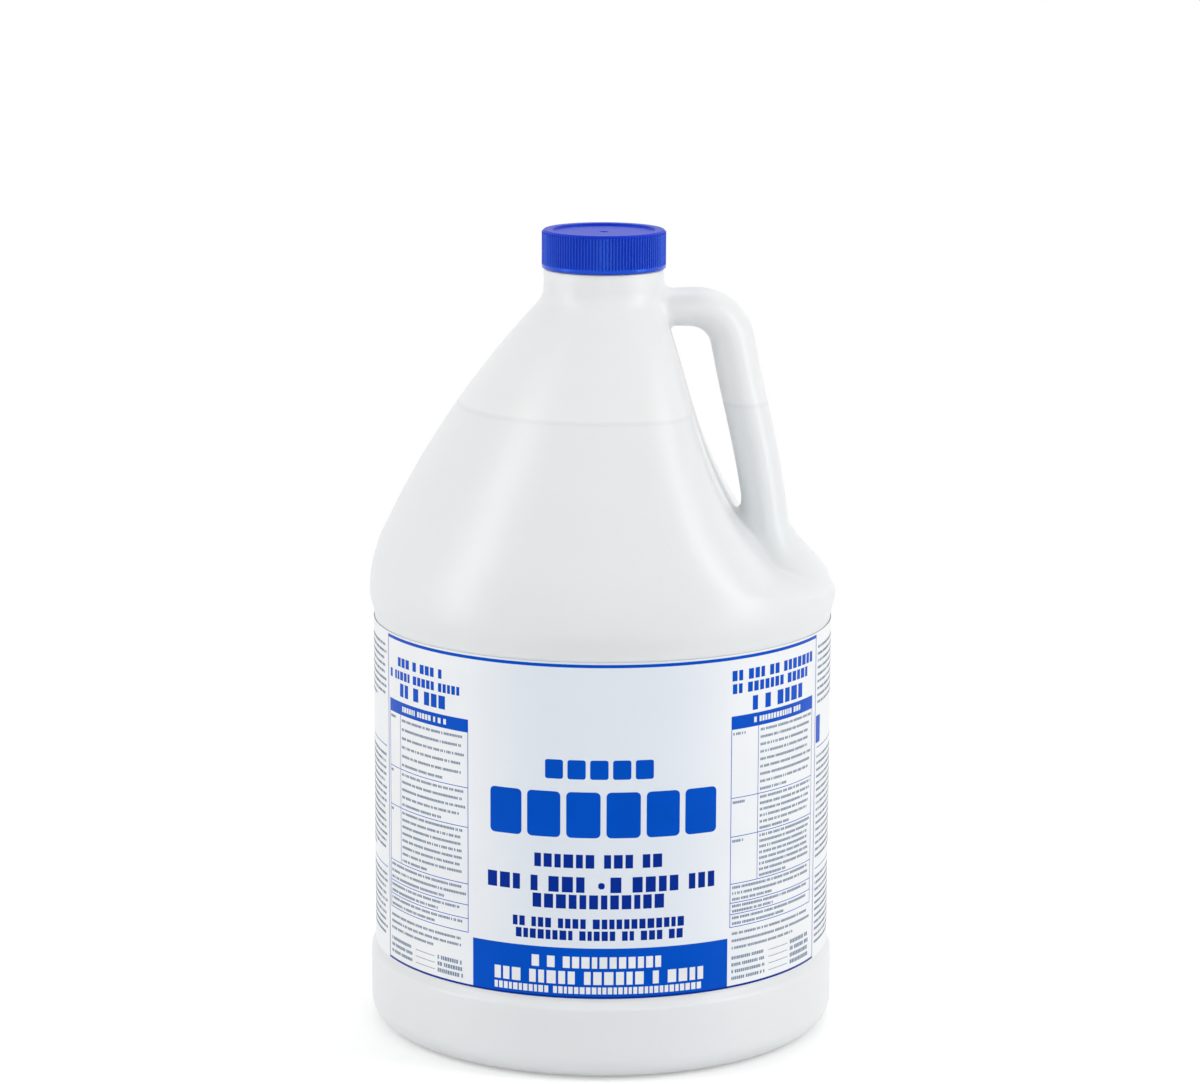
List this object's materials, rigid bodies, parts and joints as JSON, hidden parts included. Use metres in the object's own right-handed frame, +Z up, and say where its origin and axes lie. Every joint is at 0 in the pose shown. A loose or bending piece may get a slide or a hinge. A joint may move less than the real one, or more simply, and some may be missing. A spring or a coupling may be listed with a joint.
{
  "type": "bleach bottle",
  "caption": "Round plastic jug with a moulded-in hollow handle, a ribbed screw cap with a foam liner, a wrap-round label and its liquid fill.",
  "frame": {"origin": "centre of the base on the surface that the jug stands on", "axes": "+Z up along the jug's axis, +X towards the handle, -Y towards the front of the label"},
  "size_m": [0.1634, 0.1634, 0.2804],
  "materials": {
    "jug_plastic": "satin, slightly see-through white polyethylene",
    "cap_plastic": "satin blue polypropylene with fine ribs",
    "liner_foam": "white foam",
    "label_film": "smooth printed film",
    "bleach_liquid": "clear, faintly yellow liquid"
  },
  "bodies": {
    "bottle": {"jug_body": "jug_plastic", "wrap_label": "label_film", "bleach_fill": "bleach_liquid"},
    "liner": {"cap_liner": "liner_foam"},
    "cap": {"screw_cap": "cap_plastic"}
  },
  "joints": [
    {"name": "cap_rise", "type": "slide", "parent": "bottle", "child": "liner", "axis": [0, 0, 1], "range_m": [0, 0.0128]},
    {"name": "cap_turn", "type": "hinge", "parent": "liner", "child": "cap", "pos_m": [0, 0, 0.274], "axis": [0, 0, 1], "range_deg": [0, 1080]}
  ],
  "couplings": [
    {"joint": "cap_rise", "follows": "cap_turn", "m_per_rad": 0.0006737}
  ]
}
